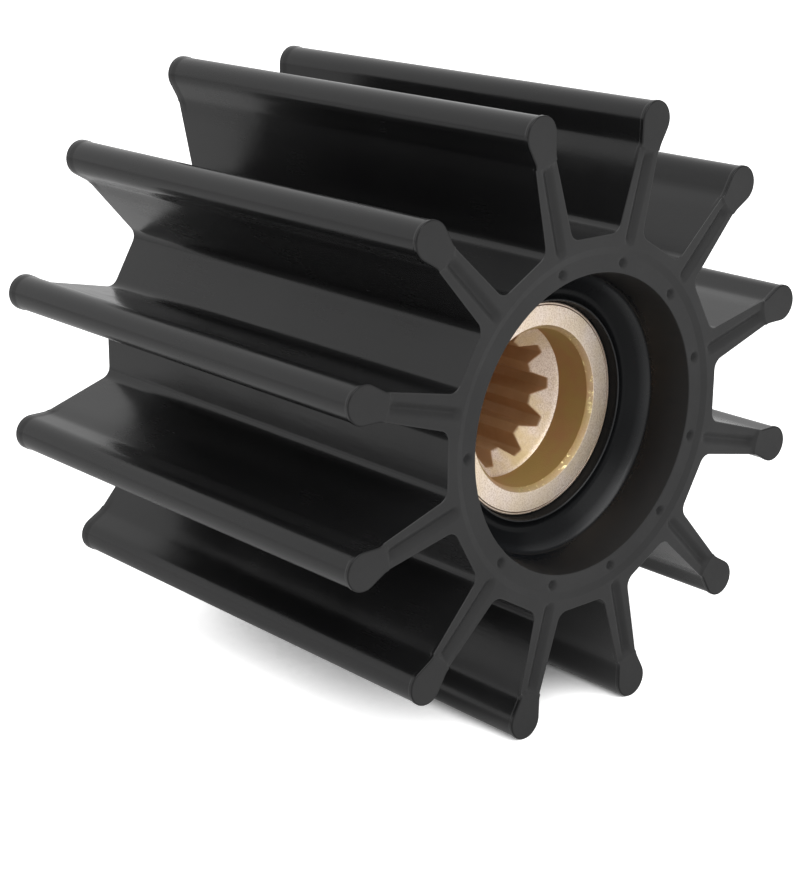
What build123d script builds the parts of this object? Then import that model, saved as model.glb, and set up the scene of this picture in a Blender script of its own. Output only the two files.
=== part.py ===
from build123d import *
from math import cos, hypot, radians, sin, tan
import os

# Flexible pump impeller: a moulded rubber body bonded round a splined brass insert.
# It is drawn standing on its back end with the axis up, the front face on top,
# then laid down so that the axis runs along X and it rests on two vane tips.

# Overall size, mm
TIP_DIAMETER = 95.0
LENGTH = 82.0
VANES = 12

# Vanes, seen end on
BEAD_R = 2.85  # round tip of each vane
BEAD_REACH = 6.9  # from the tip to the narrowest part of the vane
BEAD_FLARE = 15.0  # slope of the bead's sides towards the neck, degrees
BEAD_SAG = 0.5  # bow of the bead's end disc across the neck
NECK_WIDTH = 4.1
ROOT_WIDTH = 5.4
ROOT_FILLET = 1.8
BEAD_PROUD = 0.2  # the bead's end disc stands this far in front of the web
GROOVE_WIDTH = 2.1  # shallow groove down the end of each web
GROOVE_DEPTH = 0.3

# Spline, straight-sided spaces that narrow outwards
SPLINE_TEETH = 11
SPLINE_MINOR_R = 9.0
TOOTH_HEIGHT = 1.8
SPACE_OUTER_WIDTH = 1.6
SPACE_FLARE = 0.9  # widening of each side towards the tooth tips
SPLINE_TURN = 7.9  # from a vane to the next tooth space, degrees

# Insert, widths going outwards from the spline
COUNTERBORE_SHOULDER = 1.3
COUNTERBORE_LENGTH = 6.7
LEAD_IN_DEPTH = 3.1  # cone from the counterbore down to the tooth tips
COUNTERBORE_EDGE = 0.65  # chamfer round its mouth
COUNTERBORE_EDGE_DEPTH = 0.85
INSERT_FACE = 3.55
INSERT_EDGE = 0.3
BACK_LEAD_IN = 2.2  # cone at the back end of the spline

# Front recess in the rubber, widths going outwards from the insert
LIP_SLOPE = 0.4
MOAT_INNER_SLOPE = 1.0
MOAT_WIDTH = 0.5
MOAT_OUTER_SLOPE = 1.7
LEDGE_WIDTH = 1.3
WALL_TAPER = 1.2
DISH_WIDTH = 2.7  # dished ring round the mouth
DISH_SLOPE = 1.1
HUB_RIM = 1.7  # from the dish to the flats between the vanes

# Front recess, drops going down from the hub's face
DISH_DEPTH = 0.45
WALL_DEPTH = 6.75
LEDGE_DROP = 1.2
MOAT_DROP = 1.8
LIP_RISE = 0.8
LIP_HEIGHT = 1.6  # of the lip above the insert
MOUTH_BEVEL = 0.3
WALL_ROUND = 1.5  # where the wall runs into the ledge

# Back recess and moulding marks
BACK_LAND = 2.8  # rubber in sight round the insert
BACK_SLOPE = 1.0
BACK_DEPTH = 3.0
DIMPLE_R = 0.8
DIMPLE_DEPTH = 0.35
DIMPLE_OFFSET = 0.25  # outwards from the middle of the dish
DIMPLES = [-1, 0, 1, 2, 3, 4, 5, 6, 7, 8.5]  # counted in vane pitches

OVERLAP = 1.0  # of outlines that are joined or cut away

# Radii and heights that follow, heights measured from the back end
PITCH = 360 / VANES
TIP_R = TIP_DIAMETER / 2
BEAD_CENTRE = TIP_R - BEAD_R
NECK_AT = TIP_R - BEAD_REACH
SPLINE_MAJOR_R = SPLINE_MINOR_R + TOOTH_HEIGHT
COUNTERBORE_R = SPLINE_MAJOR_R + COUNTERBORE_SHOULDER
COUNTERBORE_RIM = COUNTERBORE_R + COUNTERBORE_EDGE
INSERT_R = COUNTERBORE_RIM + INSERT_FACE
LIP_R = INSERT_R + LIP_SLOPE
MOAT_INNER_R = LIP_R + MOAT_INNER_SLOPE
MOAT_OUTER_R = MOAT_INNER_R + MOAT_WIDTH
LEDGE_INNER_R = MOAT_OUTER_R + MOAT_OUTER_SLOPE
LEDGE_OUTER_R = LEDGE_INNER_R + LEDGE_WIDTH
MOUTH_R = LEDGE_OUTER_R + WALL_TAPER
DISH_INNER_R = MOUTH_R + DISH_WIDTH
DISH_OUTER_R = DISH_INNER_R + DISH_SLOPE
HUB_FLAT = DISH_OUTER_R + HUB_RIM
DIMPLE_AT = (MOUTH_R + DISH_INNER_R) / 2 + DIMPLE_OFFSET
FACE_TOP = LENGTH - BEAD_PROUD
FACE_BACK = BEAD_PROUD
DISH_FLOOR = FACE_TOP - DISH_DEPTH
LEDGE_TOP = DISH_FLOOR - WALL_DEPTH
LEDGE_LOW = LEDGE_TOP - LEDGE_DROP
MOAT_FLOOR = LEDGE_LOW - MOAT_DROP
LIP_TOP = MOAT_FLOOR + LIP_RISE
INSERT_TOP = LIP_TOP - LIP_HEIGHT
INSERT_BACK = BACK_DEPTH
COUNTERBORE_FLOOR = INSERT_TOP - COUNTERBORE_LENGTH


def bead_outline():
    """Half turn of the round tip, straight flared sides and a shallow arc across the neck."""
    a = radians(BEAD_FLARE)
    side_x, side_y = BEAD_R * cos(a), BEAD_CENTRE - BEAD_R * sin(a)
    neck_x = side_x - (side_y - NECK_AT) * tan(a)
    with BuildLine() as line:
        ThreePointArc((side_x, side_y), (0, TIP_R), (-side_x, side_y))
        Line((-side_x, side_y), (-neck_x, NECK_AT))
        ThreePointArc((-neck_x, NECK_AT), (0, NECK_AT - BEAD_SAG), (neck_x, NECK_AT))
        Line((neck_x, NECK_AT), (side_x, side_y))
    return make_face(line.edges())


def web_outline():
    """Tapered web from inside the hub to just inside the bead."""
    slope = (ROOT_WIDTH - NECK_WIDTH) / 2 / (NECK_AT - HUB_FLAT)
    low, high = HUB_FLAT - OVERLAP, NECK_AT + OVERLAP
    wide = ROOT_WIDTH / 2 + slope * (HUB_FLAT - low)
    narrow = ROOT_WIDTH / 2 - slope * (high - HUB_FLAT)
    return make_face(Polyline((-wide, low), (wide, low), (narrow, high), (-narrow, high), close=True))


def around(shape, steps):
    """Copies of a shape turned about the axis, one for each step of the vane pitch."""
    return [Rot(0, 0, -PITCH * k) * shape for k in steps]


def star_outline():
    """Hub with a flat between each pair of vanes, webs blended into it at the roots."""
    star = RegularPolygon(HUB_FLAT, VANES, major_radius=False) + around(web_outline(), range(VANES))
    star = star.faces()[0]
    mid_web = (HUB_FLAT + NECK_AT) / 2
    roots = [v for v in star.vertices() if hypot(v.X, v.Y) < mid_web]
    return fillet(roots, ROOT_FILLET)


def end_groove():
    """Slot down the end of one web, rounded where it stops short of the dish."""
    low = DISH_OUTER_R + GROOVE_WIDTH / 2
    bar = Pos(0, (low + NECK_AT) / 2) * Rectangle(GROOVE_WIDTH, NECK_AT - low)
    return bar + Pos(0, low) * Circle(GROOVE_WIDTH / 2)


def closed(points):
    """Face with a straight-sided outline of (radius, height) points."""
    return make_face(Polyline(*points, close=True))


def turned(outline):
    """Solid of revolution about the axis."""
    return revolve(Plane.XZ * outline, Axis.Z)


def front_recess():
    """Dished ring, then a stepped recess: tapered wall, sloping ledge, a moat and a lip."""
    wall_foot = (LEDGE_OUTER_R, LEDGE_TOP)
    outline = closed([
        (0, FACE_TOP), (DISH_OUTER_R, FACE_TOP), (DISH_INNER_R, DISH_FLOOR),
        (MOUTH_R + MOUTH_BEVEL, DISH_FLOOR), (MOUTH_R, DISH_FLOOR - MOUTH_BEVEL),
        wall_foot, (LEDGE_INNER_R, LEDGE_LOW), (MOAT_OUTER_R, MOAT_FLOOR), (MOAT_INNER_R, MOAT_FLOOR),
        (LIP_R, LIP_TOP), (INSERT_R, INSERT_TOP), (0, INSERT_TOP),
    ])
    return turned(fillet(outline.vertices().sort_by_distance(wall_foot)[0], WALL_ROUND))


def back_recess():
    """The same dished ring, then a shallow recess that leaves the insert's back end showing."""
    floor_r = INSERT_R + BACK_LAND
    dish_floor = FACE_BACK + DISH_DEPTH
    return turned(closed([
        (0, FACE_BACK), (DISH_OUTER_R, FACE_BACK), (DISH_INNER_R, dish_floor),
        (floor_r + BACK_SLOPE, dish_floor), (floor_r, INSERT_BACK), (0, INSERT_BACK),
    ]))


def rubber_body():
    """Hub and vanes in one moulding, with the bead discs proud at both ends."""
    body = Pos(0, 0, FACE_BACK) * extrude(star_outline(), FACE_TOP - FACE_BACK)
    grooves = around(end_groove(), range(VANES))
    body -= [Pos(0, 0, FACE_TOP - GROOVE_DEPTH) * extrude(g, GROOVE_DEPTH) for g in grooves]
    body -= [Pos(0, 0, FACE_BACK) * extrude(g, GROOVE_DEPTH) for g in grooves]
    body += around(extrude(bead_outline(), LENGTH), range(VANES))
    body -= front_recess()
    body -= back_recess()
    body -= Pos(0, 0, INSERT_BACK) * extrude(Circle(INSERT_R), INSERT_TOP - INSERT_BACK)
    mark = Pos(0, DIMPLE_AT, DISH_FLOOR - DIMPLE_DEPTH) * extrude(Circle(DIMPLE_R), DIMPLE_DEPTH)
    return body - around(mark, DIMPLES)


def spline_space():
    """One tapered space between two spline teeth, narrow end outwards."""
    narrow = SPACE_OUTER_WIDTH / 2
    wide = narrow + SPACE_FLARE * (TOOTH_HEIGHT + OVERLAP) / TOOTH_HEIGHT
    low = SPLINE_MINOR_R - OVERLAP
    return make_face(Polyline(
        (-wide, low), (wide, low), (narrow, SPLINE_MAJOR_R), (-narrow, SPLINE_MAJOR_R), close=True))


def splined_insert():
    """Sleeve with a chamfered counterbore and a spline right through it, coned at both ends."""
    body = Pos(0, 0, INSERT_BACK) * extrude(Circle(INSERT_R), INSERT_TOP - INSERT_BACK)
    body = chamfer(body.edges().sort_by(Axis.Z)[-1], INSERT_EDGE)
    bore = Circle(SPLINE_MINOR_R) + [
        Rot(0, 0, -SPLINE_TURN - 360 / SPLINE_TEETH * k) * spline_space() for k in range(SPLINE_TEETH)]
    body -= extrude(bore, LENGTH)
    lead_in_end = COUNTERBORE_FLOOR - LEAD_IN_DEPTH
    body -= turned(closed([
        (0, lead_in_end), (SPLINE_MINOR_R, lead_in_end), (COUNTERBORE_R, COUNTERBORE_FLOOR),
        (COUNTERBORE_R, INSERT_TOP - COUNTERBORE_EDGE_DEPTH), (COUNTERBORE_RIM, INSERT_TOP), (0, INSERT_TOP),
    ]))
    back_end = INSERT_BACK + BACK_LEAD_IN
    return body - turned(closed([
        (0, INSERT_BACK), (SPLINE_MINOR_R + BACK_LEAD_IN, INSERT_BACK), (SPLINE_MINOR_R, back_end), (0, back_end),
    ]))


def laid_down(shape):
    """Axis along X with the front facing +X, two vanes straddling the lowest line."""
    centred = Pos(0, 0, -LENGTH / 2) * shape
    return Rot(0, 90, 0) * Rot(0, 0, 2.5 * PITCH) * centred


os.makedirs("parts", exist_ok=True)
export_step(laid_down(rubber_body()), "parts/rubber_body.step")
export_step(laid_down(splined_insert()), "parts/splined_insert.step")
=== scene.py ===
import bpy
import numpy as np
from math import cos, pi, radians, sin, tan
from mathutils import Matrix, Vector


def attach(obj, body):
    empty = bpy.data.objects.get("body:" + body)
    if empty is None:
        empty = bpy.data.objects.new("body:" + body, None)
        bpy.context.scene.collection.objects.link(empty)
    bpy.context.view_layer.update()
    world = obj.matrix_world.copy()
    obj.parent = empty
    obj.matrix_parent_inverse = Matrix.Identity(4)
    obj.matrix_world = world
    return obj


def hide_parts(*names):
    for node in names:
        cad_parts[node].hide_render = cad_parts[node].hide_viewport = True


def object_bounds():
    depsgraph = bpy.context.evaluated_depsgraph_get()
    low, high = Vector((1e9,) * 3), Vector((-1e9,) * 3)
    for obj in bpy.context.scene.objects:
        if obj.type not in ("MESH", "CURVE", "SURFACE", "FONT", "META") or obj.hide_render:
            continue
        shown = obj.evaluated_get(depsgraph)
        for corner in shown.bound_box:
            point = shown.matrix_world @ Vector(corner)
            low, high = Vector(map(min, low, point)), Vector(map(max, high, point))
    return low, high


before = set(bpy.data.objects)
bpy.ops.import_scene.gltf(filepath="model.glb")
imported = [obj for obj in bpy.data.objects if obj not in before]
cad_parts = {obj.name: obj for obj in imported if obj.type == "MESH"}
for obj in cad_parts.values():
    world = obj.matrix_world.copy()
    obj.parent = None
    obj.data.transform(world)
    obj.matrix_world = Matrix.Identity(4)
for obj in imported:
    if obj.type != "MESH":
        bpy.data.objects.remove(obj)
cad_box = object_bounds()

# Sizes in mm and degrees, as in the solid model: x runs along the axis, out of the front face.
# On a vane's end, s is the distance from the vane's centre line and t the distance from the axis.

# Vanes
VANES = 12
FIRST_VANE = 15.0  # from straight up towards +Y
HALF_LENGTH = 41.0
TIP_R = 47.5
BEAD_R = 2.85
BEAD_FLARE = 15.0  # slope of the bead's sides where they run down to the neck
BEAD_PROUD = 0.2  # how far the bead's disc stands out from the web's end
BEAD_SAG = 0.5  # how far the disc's lower edge bows towards the hub
NECK_AT, NECK_HALF = 40.6, 2.05
ROOT_HALF, ROOT_FILLET = 2.7, 1.8
HUB_FLAT = 27.9  # from the axis to the hub's flat between two vanes
GROOVE_HALF = 1.05
GROOVE_DEPTH = 0.55  # in the middle; the solid model has a level floor 0.3 deep

# Splined insert
INSERT_R, INSERT_FRONT, INSERT_BACK = 16.3, 29.8, -38.0
COUNTERBORE_R, COUNTERBORE_FLOOR = 12.1, 23.1
BACK_CONE_R = 11.2
SPLINE_TEETH, SPLINE_TURN = 11, 7.9
SPLINE_MINOR_R, SPLINE_MAJOR_R = 9.0, 10.8
SPACE_OUTER_HALF, SPACE_INNER_HALF = 0.8, 1.78

# Hub's ends
RIM_R, RIM_X = 26.4, 40.8  # where the end face hands over to the turned dish
STEP_X = 33.6  # rounded step from the recess wall to the ledge
MOAT_OUTER_R = 19.9
LIP_R, LIP_X = 16.7, 31.4  # lip that laps the insert
DIMPLE_R, DIMPLE_DEPTH, DIMPLE_AT = 0.8, 0.35, 24.0
DIMPLES = [-1, 0, 1, 2, 3, 4, 5, 6, 7, 8.5]  # counted in vane pitches from the first vane

# Turned outline of the rubber from the front rim to the back rim: radius, x, corner radius
RUBBER_TURNED = [
    # front rim and dish
    (RIM_R, RIM_X, 0), (26.2, RIM_X, 0.5), (25.1, 40.45, 0.6), (22.45, 40.45, 0.15),
    # recess wall, ledge, moat and lip
    (21.2, STEP_X, 1.5), (MOAT_OUTER_R, 32.4, 0.3), (17.95, 30.6, 1.0), (LIP_R, LIP_X, 0.2),
    # bore that holds the insert
    (INSERT_R, INSERT_FRONT, 0), (INSERT_R, INSERT_BACK, 0),
    # step, dish and rim at the back
    (19.1, INSERT_BACK, 0.3), (20.1, -40.35, 0.4), (25.1, -40.35, 0.8), (26.2, -RIM_X, 0.5),
    (RIM_R, -RIM_X, 0),
]

# Camera that sees the part as the photograph does: metres and degrees, and mm for the lens
AIM = Vector((0.00256, -0.00230, -0.01081))
AZIMUTH, ELEVATION, ROLL = -42.03, 17.67, 0.50
DISTANCE, LENS = 0.3228, 83.3


# Outlines

def unit(v):
    return v / np.hypot(*v)


def rounded(corners, radii, steps, margin):
    """Path through the corners in which each one gives way to the arc of its radius that touches
    both sides, with one more point a margin before and after the arc so that the sides shade
    flat."""
    corners = np.array(corners, float)
    points = [corners[:1]]
    for before, corner, after, radius in zip(corners, corners[1:], corners[2:], radii):
        if not radius:
            points.append(corner[None])
            continue
        into, out = unit(corner - before), unit(after - corner)
        half_turn = np.arccos(np.clip(into @ out, -1, 1)) / 2
        inward, along = unit(out - into), unit(into + out)
        centre = corner + inward * radius / cos(half_turn)
        a = np.linspace(-half_turn, half_turn, steps + 1)[:, None]
        arc = centre + radius * (np.sin(a) * along - np.cos(a) * inward)
        points += [arc[:1] - margin * into, arc, arc[-1:] + margin * out]
    return np.concatenate(points + [corners[-1:]])


def divided(path, longest):
    """The same path with extra points, so that no stretch is longer than the given length."""
    gaps = np.hypot(*np.diff(path, axis=0).T)
    at = np.concatenate([[0], np.cumsum(gaps)])
    parts = np.maximum(np.ceil(gaps / longest), 1).astype(int)
    extra = [np.linspace(a, b, n, endpoint=False) for a, b, n in zip(at, at[1:], parts)]
    extra = np.concatenate(extra + [at[-1:]])
    return np.stack([np.interp(extra, at, path[:, k]) for k in (0, 1)], axis=1)


def outward(path):
    """Unit normals of an open path, on the left of its direction of travel."""
    along = np.gradient(path, axis=0)
    along /= np.hypot(along[:, 0], along[:, 1])[:, None]
    return np.stack([-along[:, 1], along[:, 0]], axis=1)


def around(s, t, angle):
    """Y and Z of the points s and t of a sector whose centre line leans from +Z towards +Y:
    t times sine plus s times cosine, and t times cosine minus s times sine."""
    return np.stack([t * np.sin(angle) + s * np.cos(angle),
                     t * np.cos(angle) - s * np.sin(angle)], axis=-1)


def smooth(v):
    """Eased step: 0 below 0, 1 above 1, with level ends."""
    v = np.clip(v, 0, 1)
    return v * v * (3 - 2 * v)


def marked(count, *spans):
    """A row of zeros with ones from the first to before the last place of each span."""
    row = np.zeros(count)
    for first, last in spans:
        row[first:last] = 1
    return row


# Meshes

WELD_CELL = 3e-4  # points in the same cube of this size, in mm, become one
WELD_SHIFT = 0.3719  # share of a cube that keeps round sizes off the cubes' sides


def grid_faces(rows, columns, flipped):
    """Quads between neighbouring points of a grid numbered row by row."""
    k = np.arange(rows * columns).reshape(rows, columns)
    quads = np.stack([k[:-1, :-1], k[1:, :-1], k[1:, 1:], k[:-1, 1:]], axis=-1).reshape(-1, 4)
    return quads[:, ::-1] if flipped else quads


def welded(name, grids, marks):
    """One mesh from several grids of points in mm: points at the same place become one,
    and quads that lose a side become triangles. Each mark is a value kept at every point."""
    points = np.concatenate([g.reshape(-1, 3) for g, _ in grids])
    start, faces = 0, []
    for g, flipped in grids:
        faces.append(grid_faces(g.shape[0], g.shape[1], flipped) + start)
        start += g.shape[0] * g.shape[1]
    cells = np.floor(points / WELD_CELL + WELD_SHIFT).astype(np.int64)
    _, first, place = np.unique(cells, axis=0, return_index=True, return_inverse=True)
    faces = place.reshape(-1)[np.concatenate(faces)]
    kept = faces != np.roll(faces, 1, axis=1)
    loops = [f[k].tolist() for f, k in zip(faces, kept) if k.sum() > 2]
    mesh = bpy.data.meshes.new(name)
    mesh.from_pydata((points[first] / 1000).tolist(), [], loops)
    for key, parts in marks.items():
        values = np.concatenate([m.reshape(-1) for m in parts])
        layer = mesh.attributes.new(key, "FLOAT", "POINT")
        layer.data.foreach_set("value", values[first].astype(np.float32))
    mesh.polygons.foreach_set("use_smooth", np.ones(len(mesh.polygons), bool))
    mesh.update()
    return mesh


def piece(name, mesh, node, finish):
    """Puts a finished mesh in place of a node of the frame."""
    obj = bpy.data.objects.new(name, mesh)
    bpy.context.collection.objects.link(obj)
    mesh.materials.append(finish)
    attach(obj, "root")
    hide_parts(node)


# Rubber body

# Points of half a vane's outline: round tip, flared side, step at the neck, web, root, hub's flat
TIP_POINTS, ROOT_POINTS, FLAT_POINTS = 15, 6, 20
FLARE_T = np.linspace(43.6, 41.5, 6)
NECK_T = NECK_AT + np.array([0.5, 0.25, 0.1, 0.05, 0, -0.05, -0.1, -0.25, -0.5])
WEB_TOP_T, WEB_POINTS = 39.4, 12
SIDE_BLEND = 0.006  # mm squared, which softens the crossing of the bead's side and the web's

EDGE_R, EDGE_STEPS = 0.15, 3  # rounding of the edges round each end
DISC_STEP = 0.16  # width of the step from the bead's disc down to the web
GROOVE_CLEAR = 0.2  # from the dish's rim to the groove's round end, where the groove runs out
GROOVE_FADE = 0.3  # over which it runs out at the bead's disc
GROOVE_FLAT = 1.1  # over 1, so that the V keeps a narrow flat at the bottom
FINE_BAND, FINE_SHARE = 1.5, 0.62  # closer points up to this far, or this share, from the middle
LAST_BAND, LAST_SHARE = 0.12, 0.3  # a last point this far, or this share, from the edge

# Thin lip that the mould leaves round each end of a bead, 0.5 long in front and 1.2 at the back
FLASH_PROUD = 0.13
FLASH_FROM, FLASH_RISE = 38.0, 3.0  # t where it starts, and over which it grows to its full height
FRONT_ROWS = np.array([0.05, 0.35, 0.45, 0.6, 0.7, 1.5])  # distances from the ends
BACK_ROWS = np.array([2.2, 1.7, 1.55, 0.9, 0.75, 0.05])
OFF_FLASH = marked(13, (3, 10))  # rows past the lip, of all those and one more at x = 0

DISH_X = HALF_LENGTH - 1.5  # the front dish lies further out than this
DISH_SPACING = 0.25
DIMPLE_SIDE = 0.3  # width of a dimple's soft side

# Marks from 0 to 1: how much lighter an edge is, which on the lip and the step is a painted
# highlight, and how far a part is on its way to a dull black that is painted shade
WEB_EDGE_LIGHTER, LIP_HIGHLIGHT, STEP_HIGHLIGHT = 0.5, 0.6, 0.9
GROOVE_SHADE, DISC_EDGE_SHADE, DIMPLE_SHADE = 0.22, 0.7, 0.7
GROOVE_FILL = 1.6  # over 1, so that the groove's shade is full before its bottom
DISC_FADE = 0.5  # above the neck, over which an edge passes from worn to shaded
LIP_HALF, LIP_MARK_X = 0.15, LIP_X - 0.3
STEP_HALF = 0.5
MOAT_SHADE_R, MOAT_FADE = MOAT_OUTER_R + 1.3, 1.6  # where the moat's shade ends, and its fade
END_FACE_X, RECESS_X = HALF_LENGTH - 0.8, HALF_LENGTH - 1.0


def vane_half_width(t):
    """Larger of the bead's flared side and the web's tapered side, blended where they cross:
    half the sum of the two lines plus half the root of their squared difference and a little
    more."""
    a = radians(BEAD_FLARE)
    flare = BEAD_R * cos(a) - (TIP_R - BEAD_R - BEAD_R * sin(a) - t) * tan(a)
    web = NECK_HALF + (ROOT_HALF - NECK_HALF) * (NECK_AT - t) / (NECK_AT - HUB_FLAT)
    return (flare + web + np.sqrt((flare - web) ** 2 + SIDE_BLEND)) / 2


def half_outline():
    """From the middle of a vane's tip to the middle of the gap beside it: a round tip, the vane's
    side, an arc of the root's radius that touches the side and the hub's flat, and the flat."""
    centre_t, half_pitch = TIP_R - BEAD_R, pi / VANES
    a = np.linspace(pi / 2, -radians(BEAD_FLARE), TIP_POINTS)
    tip = np.stack([BEAD_R * np.cos(a), centre_t + BEAD_R * np.sin(a)], axis=1)
    slope = (ROOT_HALF - NECK_HALF) / (NECK_AT - HUB_FLAT)
    side_normal = unit(np.array([1.0, slope]))
    flat_normal = np.array([sin(half_pitch), cos(half_pitch)])
    reach = [side_normal @ (ROOT_HALF, HUB_FLAT) + ROOT_FILLET, HUB_FLAT + ROOT_FILLET]
    centre = np.linalg.solve(np.array([side_normal, flat_normal]), reach)
    web_foot = centre[1] - ROOT_FILLET * side_normal[1] + 0.1
    t = np.concatenate([FLARE_T, NECK_T, np.linspace(WEB_TOP_T, web_foot, WEB_POINTS)])
    side = np.stack([vane_half_width(t), t], axis=1)
    turn = np.linspace(0, 1, ROOT_POINTS)[:, None]
    towards = side_normal * (1 - turn) + flat_normal * turn
    root = centre - ROOT_FILLET * towards / np.hypot(towards[:, :1], towards[:, 1:])
    along = np.linspace(0, 1, FLAT_POINTS + 1)[1:, None]
    flat = root[-1] * (1 - along) + HUB_FLAT * flat_normal * along
    return np.concatenate([tip, side, root, flat])


def neck_line(s):
    """Distance from the axis at which the bead's disc ends, a shallow arc across the neck."""
    return NECK_AT - BEAD_SAG * (1 - np.clip(s / NECK_HALF, 0, 1) ** 2)


def groove_share(s, t):
    """Depth of the round-ended V groove down the middle of a web's end, as a share: 1 less the
    distance from its middle over its half width, eased out at both ends."""
    low_end = RIM_R + GROOVE_CLEAR + GROOVE_HALF
    across = np.hypot(s, np.minimum(t - low_end, 0))
    ends = smooth((neck_line(s) - t) / GROOVE_FADE) * smooth((t - RIM_R) / GROOVE_CLEAR)
    return np.clip(GROOVE_FLAT * (1 - across / GROOVE_HALF), 0, 1) * ends


def end_depth(s, t):
    """Depth of the end face below the beads: the bead's disc is level and proud of the web."""
    web = smooth((neck_line(s) - t) / DISC_STEP + 0.5)
    return web * (BEAD_PROUD + GROOVE_DEPTH * groove_share(s, t))


def end_strip(outline, inner, outer):
    """Points of the end face on straight lines from the vane's middle, or the dish's rim, to the
    outline: inner ones closer together over the groove, outer ones spread over the rest."""
    count = len(outline) - FLAT_POINTS
    down = outline[:count, 1].copy()
    down[-ROOT_POINTS:] = np.linspace(down[-ROOT_POINTS - 1], RIM_R, ROOT_POINTS + 1)[1:]
    a = np.linspace(0, pi / VANES, FLAT_POINTS + 1)[1:]
    middle = np.concatenate([np.stack([0 * down, down], axis=1),
                             RIM_R * np.stack([np.sin(a), np.cos(a)], axis=1)])
    length = np.hypot(*(outline - middle).T)[:, None] + 1e-9
    split = np.minimum(FINE_BAND / length, FINE_SHARE)
    last = 1 - np.minimum(LAST_BAND / length, LAST_SHARE * (1 - split))
    share = np.concatenate([np.linspace(0, 1, inner) * split,
                            split + (1 - split) * np.linspace(0, 1, outer + 1)[1:-1],
                            last, 1 + 0 * length], axis=1)
    return middle[:, None] + (outline - middle)[:, None] * share[..., None]


def rounded_end(outline, normals, inner, outer):
    """One end of the half sector as s and t, with its depth, from the middle out and round the
    edge, which is a quarter of a circle."""
    a = np.linspace(0, pi / 2, EDGE_STEPS + 1)[1:]
    inset, drop = EDGE_R * (1 - np.sin(a)), EDGE_R * (1 - np.cos(a))
    shrunk = outline - EDGE_R * normals
    shrunk[0, 0] = 0
    face = end_strip(shrunk, inner, outer)
    depth = end_depth(face[..., 0], face[..., 1])
    edge = outline[:, None] - normals[:, None] * inset[:, None]
    edge_depth = depth[:, -1:] + drop
    return np.concatenate([face, edge], axis=1), np.concatenate([depth, edge_depth], axis=1)


def half_sector():
    """Half a vane with its share of the hub, as one grid from the middle of the front face round
    the edge, along the side and back to the middle of the back face, with its marks. The side lies
    lower than the mould's lip at its ends by the lip's height."""
    outline = half_outline()
    normals = outward(outline)
    normals[0], normals[-1] = (0, 1), (sin(pi / VANES), cos(pi / VANES))
    front, front_depth = rounded_end(outline, normals, inner=8, outer=3)
    back, back_depth = rounded_end(outline, normals, inner=3, outer=2)
    front_x, back_x = HALF_LENGTH - front_depth, back_depth - HALF_LENGTH
    side_x = np.concatenate([front_x[:, -1:] - FRONT_ROWS, 0 * front_x[:, -1:],
                             back_x[:, -1:] + BACK_ROWS], axis=1)
    lowered = FLASH_PROUD * OFF_FLASH * smooth((outline[:, 1:] - FLASH_FROM) / FLASH_RISE)
    side = outline[:, None] - normals[:, None] * lowered[..., None]
    st = np.concatenate([front, side, back[:, ::-1]], axis=1)
    x = np.concatenate([front_x, side_x, back_x[:, ::-1]], axis=1)

    count, front_end, back_start = st.shape[1], front.shape[1], st.shape[1] - back.shape[1]
    on_end = marked(count, (0, front_end - EDGE_STEPS), (back_start + EDGE_STEPS, count))
    on_edge = marked(count, (front_end - EDGE_STEPS - 1, front_end),
                     (back_start, back_start + EDGE_STEPS + 1))
    # Lighter webs' end edges; painted shade in the grooves and along the edges of the beads' discs
    on_bead = smooth((outline[:, 1:] - NECK_AT) / DISC_FADE)
    in_groove = smooth(GROOVE_FILL * groove_share(st[..., 0], st[..., 1])) * on_end
    shade = np.maximum(GROOVE_SHADE * in_groove, DISC_EDGE_SHADE * on_bead * on_edge)
    return st, x, {"end_face": on_end + 0 * x, "edge": WEB_EDGE_LIGHTER * (1 - on_bead) * on_edge,
                   "recess": 0 * x, "shade": shade}


def turned(profile, angles):
    """Surface of revolution about the x axis: y is radius times sine and z radius times cosine."""
    r, x = profile[:, None, 0], profile[:, None, 1]
    return np.stack([x + 0 * angles, r * np.sin(angles), r * np.cos(angles)], axis=-1)


def dimples(surface):
    """Round pits in the front dish: the surface sinks inside each pit's radius, with a soft side.
    Hands back how deep each point sank, as a share."""
    a = np.radians(FIRST_VANE) + 2 * pi / VANES * np.array(DIMPLES)
    y, z = DIMPLE_AT * np.sin(a), DIMPLE_AT * np.cos(a)
    away = np.hypot(surface[..., 1, None] - y, surface[..., 2, None] - z).min(axis=-1)
    pit = smooth((DIMPLE_R - away) / DIMPLE_SIDE) * (surface[..., 0] > DISH_X)
    surface[..., 0] -= DIMPLE_DEPTH * pit
    return pit


def turned_rubber():
    """Both dishes, the recess and the bore as one turned surface, with its marks."""
    corners = np.array(RUBBER_TURNED)
    path = rounded(corners[:, :2], corners[1:-1, 2], steps=4, margin=0.1)
    on_dish = path[:, 1] > DISH_X
    path = np.concatenate([divided(path[on_dish], DISH_SPACING)[:-1],
                           path[np.argmin(on_dish) - 1:]])
    angles = radians(FIRST_VANE) + np.linspace(0, 2 * pi, 2 * VANES * FLAT_POINTS + 1)
    surface = turned(path, angles)
    pit = dimples(surface)
    even = np.ones(pit.shape)
    r, x = path[:, :1], path[:, 1:]
    # Painted highlight along the lip and the recess's rounded step; painted shade in the moat and
    # dimples
    lip = smooth(1.5 - np.abs(r - LIP_R) / LIP_HALF) * (x > LIP_MARK_X)
    step = smooth(1 - np.abs(x - STEP_X) / STEP_HALF)
    moat = smooth((MOAT_SHADE_R - r) / MOAT_FADE) * (x > 0) * (1 - lip)
    return surface, {"end_face": (np.abs(x) > END_FACE_X) * even,
                     "edge": (LIP_HIGHLIGHT * lip + STEP_HIGHLIGHT * step) * even,
                     "recess": (np.abs(x) < RECESS_X) * even,
                     "shade": np.maximum(moat, DIMPLE_SHADE * pit)}


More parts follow.
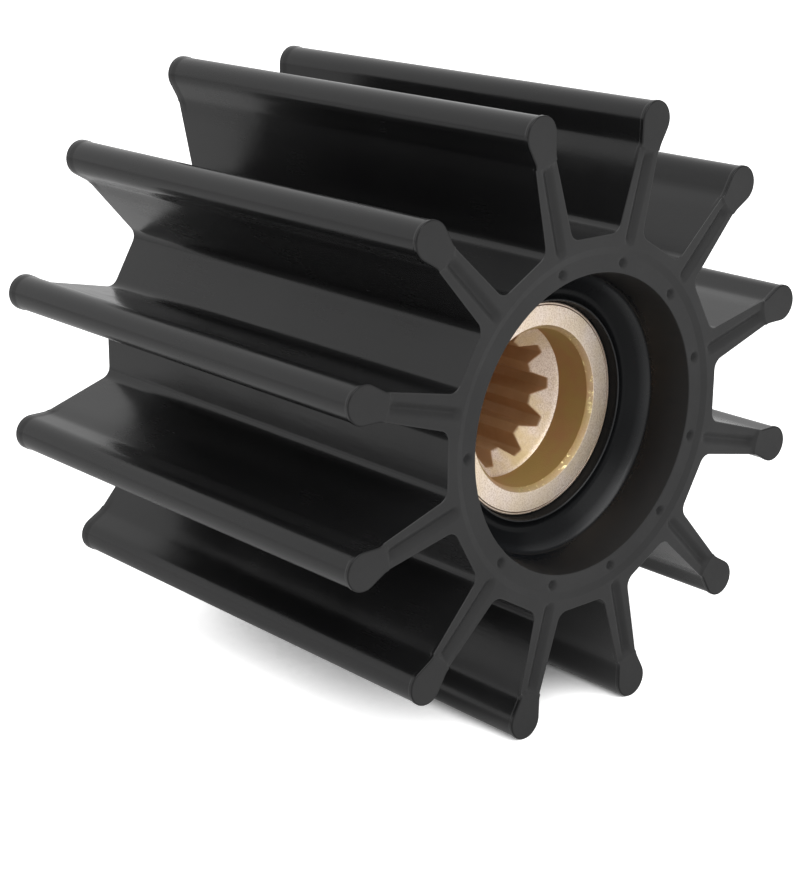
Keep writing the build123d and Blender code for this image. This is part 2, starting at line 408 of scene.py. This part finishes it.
def rubber_mesh():
    """Twenty-four half sectors round the axis, closed by one turned surface through the bore."""
    st, x, sector_marks = half_sector()
    inside, inside_marks = turned_rubber()
    grids = []
    for angle in radians(FIRST_VANE) + 2 * pi / VANES * np.arange(VANES):
        for side in (1, -1):
            across = around(side * st[..., 0], st[..., 1], angle)
            grids.append((np.concatenate([x[..., None], across], axis=-1), side < 0))
    marks = {key: [mark] * len(grids) + [inside_marks[key]] for key, mark in sector_marks.items()}
    return welded("rubber_body_surface", grids + [(inside, False)], marks)


# Splined insert

RIM_EDGE, BACK_EDGE = 0.2, 0.3  # bevels round the front face and the back face
FACE_LINE_R, FACE_LINE_HALF, FACE_LINE_DEPTH = 15.8, 0.08, 0.12  # fine turned line round the face
MOUTH_EDGE, MOUTH_EDGE_DEPTH = 0.65, 0.85  # chamfer round the counterbore
BORE_EDGE = 0.15  # bevel where the spline meets the cones at its ends
SPACE_FLOOR_ROUND, SPACE_MOUTH_ROUND = 0.3, 0.25  # corners of a tooth space
PROFILE_SPACING, SPLINE_SPACING = 1.2, 0.5
CONE_CLOSING = (0.35, 0.7, 0.95, 1)  # rings from the counterbore's floor in to the spline
BACK_OPENING = (0, 0.06, 0.25, 0.5, 0.95, 1)  # rings from the spline out over the back face
BORE_RINGS_X = (8, -8, -24)
CHAMFER_WALL = 0.7  # the chamfer has at least this share of the counterbore wall's finish
CHAMFER_END = 1.02  # in chamfer depths, just past its foot
LINE_REACH, RIM_SHADE = 1.3, 0.3  # spread of the fine line's painted shade, its share on the rim


def space_half_outline():
    """Half a tooth space from the middle of its floor to the middle of the next tooth's tip,
    straight runs with small rounded corners."""
    tip = pi / SPLINE_TEETH
    mouth_t = np.sqrt(SPLINE_MINOR_R ** 2 - SPACE_INNER_HALF ** 2)
    corners = [(0, SPLINE_MAJOR_R), (SPACE_OUTER_HALF, SPLINE_MAJOR_R),
               (SPACE_INNER_HALF, mouth_t), (SPLINE_MINOR_R * sin(tip), SPLINE_MINOR_R * cos(tip))]
    path = rounded(corners, [SPACE_FLOOR_ROUND, SPACE_MOUTH_ROUND], steps=3, margin=0.06)
    return divided(path, SPLINE_SPACING)


def insert_profile():
    """Turned outline up the outside, over the rim with its fine line, the face and the chamfer,
    down the counterbore's wall and onto the cone: radius and x, then its marks."""
    corners = np.array([
        (INSERT_R, INSERT_BACK + BACK_EDGE, 0),
        (INSERT_R, INSERT_FRONT - RIM_EDGE, 0.08),
        (INSERT_R - RIM_EDGE, INSERT_FRONT, 0.05),
        (FACE_LINE_R + FACE_LINE_HALF, INSERT_FRONT, 0.02),
        (FACE_LINE_R, INSERT_FRONT - FACE_LINE_DEPTH, 0.02),
        (FACE_LINE_R - FACE_LINE_HALF, INSERT_FRONT, 0.02),
        (COUNTERBORE_R + MOUTH_EDGE, INSERT_FRONT, 0.1),
        (COUNTERBORE_R, INSERT_FRONT - MOUTH_EDGE_DEPTH, 0.15),
        (COUNTERBORE_R, COUNTERBORE_FLOOR, 0.2),
        (COUNTERBORE_R - 1, COUNTERBORE_FLOOR - 1, 0),  # gives the cone's direction, then goes
    ])
    path = rounded(corners[:, :2], corners[1:-1, 2], steps=3, margin=0.03)
    path = divided(path, PROFILE_SPACING)[:-1]
    r, x = path.T
    down = (INSERT_FRONT - x) / MOUTH_EDGE_DEPTH
    inside = (r < COUNTERBORE_R + MOUTH_EDGE) & (x > COUNTERBORE_FLOOR)
    # Painted shade in the fine line, spreading over the rim outside it
    line = smooth(LINE_REACH - np.abs(r - FACE_LINE_R) / FACE_LINE_HALF)
    return path, {"wall": np.clip(down, CHAMFER_WALL, 1) * inside,
                  "chamfer": inside & (down < CHAMFER_END),
                  "groove": np.maximum(line, RIM_SHADE * (r > FACE_LINE_R)) * (x > 0)}


def spline_rings():
    """The spline's outline right round the axis, and the same set back by its bevel."""
    half = space_half_outline()
    normals = outward(half)
    normals[0], normals[-1] = (0, 1), (sin(pi / SPLINE_TEETH), cos(pi / SPLINE_TEETH))
    both = np.concatenate([(half * (-1, 1))[::-1], half[1:]])
    out = np.concatenate([(normals * (-1, 1))[::-1], normals[1:]])
    a = 2 * pi / SPLINE_TEETH * np.arange(SPLINE_TEETH)[:, None]
    rings = []
    for local in (both, both + BORE_EDGE * out):
        s, t = local[:-1].T
        ring = around(s, t, radians(FIRST_VANE + SPLINE_TURN) + a).reshape(-1, 2)
        rings.append(np.concatenate([ring, ring[:1]]))
    return rings


def insert_mesh():
    """Rings of points at the spline's own angles: round ones over the outside, the face and the
    counterbore, then rings that close in evenly on the spline's outline down a 45 degree cone,
    run through the bore and open up again over the back end."""
    def front_cone(ring):
        return COUNTERBORE_FLOOR - COUNTERBORE_R + np.hypot(*ring.T)

    def back_cone(ring):
        return np.maximum(INSERT_BACK + BACK_CONE_R - np.hypot(*ring.T), INSERT_BACK)

    bore, eased = spline_rings()
    angles = np.arctan2(bore[:, 0], bore[:, 1])
    circle = around(0, 1, angles)
    path, marks = insert_profile()
    outside = [(r * circle, x) for r, x in path]
    last, outer = outside[-1][0], (INSERT_R - BACK_EDGE) * circle
    closing = [last * (1 - u) + eased * u for u in CONE_CLOSING]
    opening = [eased * (1 - u) + outer * u for u in BACK_OPENING]
    cone = [(ring, front_cone(ring)) for ring in closing]
    through = [(bore, front_cone(bore) - drop) for drop in (BORE_EDGE, 2 * BORE_EDGE)]
    through += [(bore, x) for x in BORE_RINGS_X] + [(bore, back_cone(bore) + BORE_EDGE)]
    back = [(ring, back_cone(ring)) for ring in opening]
    rings = outside + cone + through + back + outside[:1]
    surface = np.stack([np.column_stack([x + 0 * angles, ring]) for ring, x in rings])

    count, bore_start = len(rings), len(outside) + len(cone)
    marks = {key: np.append(row, np.zeros(count - len(row))) for key, row in marks.items()}
    marks["cone"] = marked(count, (len(outside) - 1, bore_start))
    marks["bored"] = marked(count, (bore_start, bore_start + len(through)))
    even = np.ones(surface.shape[:2])
    return welded("splined_insert_surface", [(surface, False)],
                  {key: [row[:, None] * even] for key, row in marks.items()})


# Finishes

class Link:
    """A node's output. Sums, products and the like on it add Math nodes to its node tree."""

    def __init__(self, shading, socket):
        self.shading, self.socket = shading, socket

    def joined(self, operation, *values):
        return self.shading.node("ShaderNodeMath", {"operation": operation},
                                 dict(enumerate(values)))

    def __add__(self, other):
        return self.joined("ADD", self, other)

    def __sub__(self, other):
        return self.joined("SUBTRACT", self, other)

    def __rsub__(self, other):
        return self.joined("SUBTRACT", other, self)

    def __mul__(self, other):
        return self.joined("MULTIPLY", self, other)

    __radd__, __rmul__ = __add__, __mul__


class Shading:
    """The emptied node tree of a material or a world, with its nodes made by one method."""

    def __init__(self, owner):
        self.owner = owner
        owner.use_nodes = True
        self.tree = owner.node_tree
        self.tree.nodes.clear()

    def node(self, kind, settings=None, inputs=None, output=0):
        """Adds a node, sets what it is set to first, then its sockets' values or links."""
        made = self.tree.nodes.new(kind)
        for key, value in (settings or {}).items():
            setattr(made, key, value)
        for key, value in (inputs or {}).items():
            if isinstance(value, Link):
                self.tree.links.new(value.socket, made.inputs[key])
            else:
                made.inputs[key].default_value = value
        return Link(self, made.outputs[output]) if made.outputs else None

    def ray(self, kind):
        return self.node("ShaderNodeLightPath", output=kind)

    def place(self):
        return self.node("ShaderNodeTexCoord", output="Object")

    def stretched(self, where, scale):
        return self.node("ShaderNodeMapping", {}, {"Vector": where, "Scale": scale})

    def noise(self, where, scale, detail, roughness=0.5):
        return self.node("ShaderNodeTexNoise", {}, {
            "Vector": where, "Scale": scale, "Detail": detail, "Roughness": roughness})

    def mark(self, name):
        return self.node("ShaderNodeAttribute", {"attribute_name": name}, output="Fac")

    def ramp(self, value, low, high):
        """Eased step from 0 at the low value to 1 at the high one."""
        return self.node("ShaderNodeMapRange", {"interpolation_type": "SMOOTHSTEP"}, {
            "Value": value, "From Min": low, "From Max": high})

    def mixed(self, share, first, second):
        """The first colour, and at a share of 1 the second."""
        return self.node("ShaderNodeMix", {"data_type": "RGBA"},
                         {0: share, 6: first, 7: second}, output=2)

    def bumped(self, height, distance):
        return self.node("ShaderNodeBump", {}, {"Height": height, "Distance": distance})

    def principled(self, **inputs):
        return self.node("ShaderNodeBsdfPrincipled", {},
                         {key.replace("_", " "): value for key, value in inputs.items()})

    def finished(self, shader, kind="Material"):
        """Links the shader to the output and hands back the material or world."""
        self.node("ShaderNodeOutput" + kind, {}, {"Surface": shader})
        return self.owner


def rgb(*values):
    return (*values, 1.0)


def moulded_rubber():
    """Black rubber: glossy where the mould was polished, duller on its end faces, with a faint
    cloudiness, streaks drawn along the axis and a fine skin. Painted shade makes it a darker, cold
    black inside the recess. It is greyer along the webs' end edges, has a painted highlight along
    the lip and the recess's step, and goes over to a dull black as painted shade in the moat and
    the dimples, on the edges of the beads' discs and a little in the grooves."""
    f = Shading(bpy.data.materials.new("moulded_rubber"))
    place = f.place()
    end_face, edge, recess, shade = [f.mark(m) for m in ("end_face", "edge", "recess", "shade")]
    cloud = f.ramp(f.noise(place, 60, 4), 0.3, 0.7)
    skin = f.noise(place, 900, 3, 0.6)
    streak = f.noise(f.stretched(place, (0.12, 1, 1)), 1100, 3, 0.6)
    ripple = f.noise(place, 140, 2)

    side_black, end_black = rgb(0.0097, 0.0097, 0.01), rgb(0.0078, 0.0078, 0.008)
    recess_shade_black, edge_grey = rgb(0.0046, 0.0059, 0.0078), rgb(0.04, 0.04, 0.04)
    colour = f.mixed(end_face * 0.8 + cloud * 0.2, side_black, end_black)
    # Painted shade: a darker, bluish black inside the recess
    colour = f.mixed(recess, colour, recess_shade_black)
    # Lighter along the webs' end edges, and a painted highlight along the lip and the recess's step
    colour = f.mixed(edge * 0.35, colour, edge_grey)
    rough = 0.14 + end_face * 0.33 + recess * 0.02 + cloud * 0.1 + streak * 0.08
    height = streak * 0.5 + skin * 0.3 + ripple * 0.8
    polished = f.principled(Base_Color=colour, Roughness=rough, Specular_IOR_Level=0.45,
                            Normal=f.bumped(height, 0.00002))
    # Dull black mixed in as painted shade: a quarter of it inside the recess, more where shade is
    # marked
    painted_shade_black = f.node("ShaderNodeBsdfDiffuse", {}, {"Color": rgb(0.0078, 0.008, 0.0084)})
    return f.finished(f.node("ShaderNodeMixShader", {}, {
        0: recess * 0.25 + shade * 0.55, 1: polished, 2: painted_shade_black}))


def grainy_brass():
    """Pale brass, grainy like pressed powder: golden on the counterbore's turned wall and on the
    chamfer, which has painted glints in places, patchy on the cone, browner in the splined bore,
    with painted shade in the fine line round its face and, fainter, over the rim outside it."""
    f = Shading(bpy.data.materials.new("grainy_brass"))
    place = f.place()
    wall, chamfer, groove, cone, bored = [
        f.mark(m) for m in ("wall", "chamfer", "groove", "cone", "bored")]
    grain = f.noise(place, 4200, 2, 0.7)
    stain = f.ramp(f.noise(place, 130, 4, 0.6), 0.35, 0.65)
    glints = f.ramp(f.noise(place, 900, 3, 0.7), 0.56, 0.66) * chamfer

    rosy, cream, straw = rgb(0.78, 0.63, 0.52), rgb(1.0, 0.87, 0.77), rgb(0.80, 0.63, 0.34)
    wall_gold = f.mixed(stain, rgb(0.50, 0.28, 0.12), rgb(0.48, 0.33, 0.11))
    bore_brown = f.mixed(stain, rgb(0.66, 0.43, 0.24), rgb(0.58, 0.36, 0.18))
    painted_line_shade, painted_glint_gold = rgb(0.12, 0.05, 0.02), rgb(1.0, 0.88, 0.45)
    colour = f.mixed(f.ramp(grain, 0.4, 0.55), rosy, cream)
    colour = f.mixed(stain * (0.35 + cone * 0.55), colour, straw)
    colour = f.mixed(wall, colour, wall_gold)
    colour = f.mixed(bored, colour, bore_brown)
    # Painted shade in the fine line round the face, and fainter over the rim outside it
    colour = f.mixed(groove, colour, painted_line_shade)
    # Painted glints: bright gold spots on the chamfer, which are also smoother and more metallic
    colour = f.mixed(glints * 0.7, colour, painted_glint_gold)
    metal = 0.95 - wall * 0.6 - bored * 0.45 - cone * 0.35 + glints * 0.5
    rough = 0.33 + grain * 0.14 + bored * 0.15 + wall * 0.25 + cone * 0.15 - glints * 0.3
    return f.finished(f.principled(Base_Color=colour, Metallic=metal, Roughness=rough,
                                   Normal=f.bumped(grain, 0.00006)))


# Studio

SKY_LIGHT, SKY_MIRRORED = 0.6, 0.87  # strength that lights the object, strength seen in reflections
FLOOR_HALF, FLOOR_WHITE = 4.0, 0.9
FLOOR_MIRRORED = 0.35  # what the floor in front of the part adds in reflections
FLOOR_FRONT = (-0.05, 0.15)  # x over which the floor passes from behind the part to its front
SHADOW_REACH = 0.04  # the part shades the floor up to this far away
SHADOW_OPEN = 0.35  # share of open sky above the floor from which it is full white
LAMP_AT, LAMP_SIZE, LAMP_POWER = (0.60, -0.16, 0.80), 0.9, 5.0


def studio_floor(level):
    """Plain white floor with a glow, which the camera sees where the sky above is open, so that
    the floor is white there and the object's shadow still falls on it. Reflections show a fainter
    glow in front of the part. The glow adds nothing to the light that falls on the object."""
    f = Shading(bpy.data.materials.new("studio_floor"))
    open_sky = f.node("ShaderNodeAmbientOcclusion", {"samples": 16}, {"Distance": SHADOW_REACH},
                      output="AO")
    along = f.node("ShaderNodeSeparateXYZ", {}, {"Vector": f.place()})
    share = (f.ray("Is Camera Ray") * f.ramp(open_sky, 0.0, SHADOW_OPEN)
             + f.ray("Is Glossy Ray") * f.ramp(along, *FLOOR_FRONT) * FLOOR_MIRRORED)
    paper = f.node("ShaderNodeBsdfDiffuse", {}, {"Color": rgb(*[FLOOR_WHITE] * 3)})
    glow = f.node("ShaderNodeEmission", {}, {
        "Color": f.mixed(share, rgb(0, 0, 0), rgb(1, 1, 1))})
    f.finished(f.node("ShaderNodeAddShader", {}, {0: paper, 1: glow}))
    mesh = bpy.data.meshes.new("studio_floor")
    corners = [(x * FLOOR_HALF, y * FLOOR_HALF, level)
               for x, y in ((-1, -1), (1, -1), (1, 1), (-1, 1))]
    mesh.from_pydata(corners, [], [(0, 1, 2, 3)])
    mesh.materials.append(f.owner)
    obj = bpy.data.objects.new("studio_floor", mesh)
    bpy.context.collection.objects.link(obj)


def studio_sky():
    """Even pale surroundings: full white to the eye and a little short of it in reflections."""
    f = Shading(bpy.data.worlds.new("studio"))
    level = (SKY_LIGHT + f.ray("Is Glossy Ray") * (SKY_MIRRORED - SKY_LIGHT)
             + f.ray("Is Camera Ray") * (1 - SKY_LIGHT))
    white = f.node("ShaderNodeBackground", {}, {"Color": rgb(1, 1, 1), "Strength": level})
    bpy.context.scene.world = f.finished(white, "World")


def lamp(name, place, size, power):
    """Square soft lamp that faces the object."""
    data = bpy.data.lights.new(name, "AREA")
    data.energy, data.size = power, size
    obj = bpy.data.objects.new(name, data)
    turn = Vector(place).to_track_quat("Z", "Y").to_matrix().to_4x4()
    obj.matrix_world = Matrix.Translation(Vector(place)) @ turn
    bpy.context.collection.objects.link(obj)


def camera():
    data = bpy.data.cameras.new("camera")
    data.sensor_fit, data.sensor_height, data.lens = "VERTICAL", 36.0, LENS
    data.clip_start, data.clip_end = 0.01, 20.0
    obj = bpy.data.objects.new("camera", data)
    az, el = radians(AZIMUTH), radians(ELEVATION)
    back = Vector((cos(el) * cos(az), cos(el) * sin(az), sin(el)))
    roll = Matrix.Rotation(radians(ROLL), 4, "Z")
    turn = back.to_track_quat("Z", "Y").to_matrix().to_4x4() @ roll
    obj.matrix_world = Matrix.Translation(AIM + back * DISTANCE) @ turn
    bpy.context.collection.objects.link(obj)
    bpy.context.scene.camera = obj


camera()
piece("rubber_body_surface", rubber_mesh(), "rubber_body", moulded_rubber())
piece("splined_insert_surface", insert_mesh(), "splined_insert", grainy_brass())
studio_floor(cad_box[0][2])
studio_sky()
lamp("overhead", LAMP_AT, LAMP_SIZE, LAMP_POWER)
bpy.context.scene.view_settings.view_transform = "Standard"
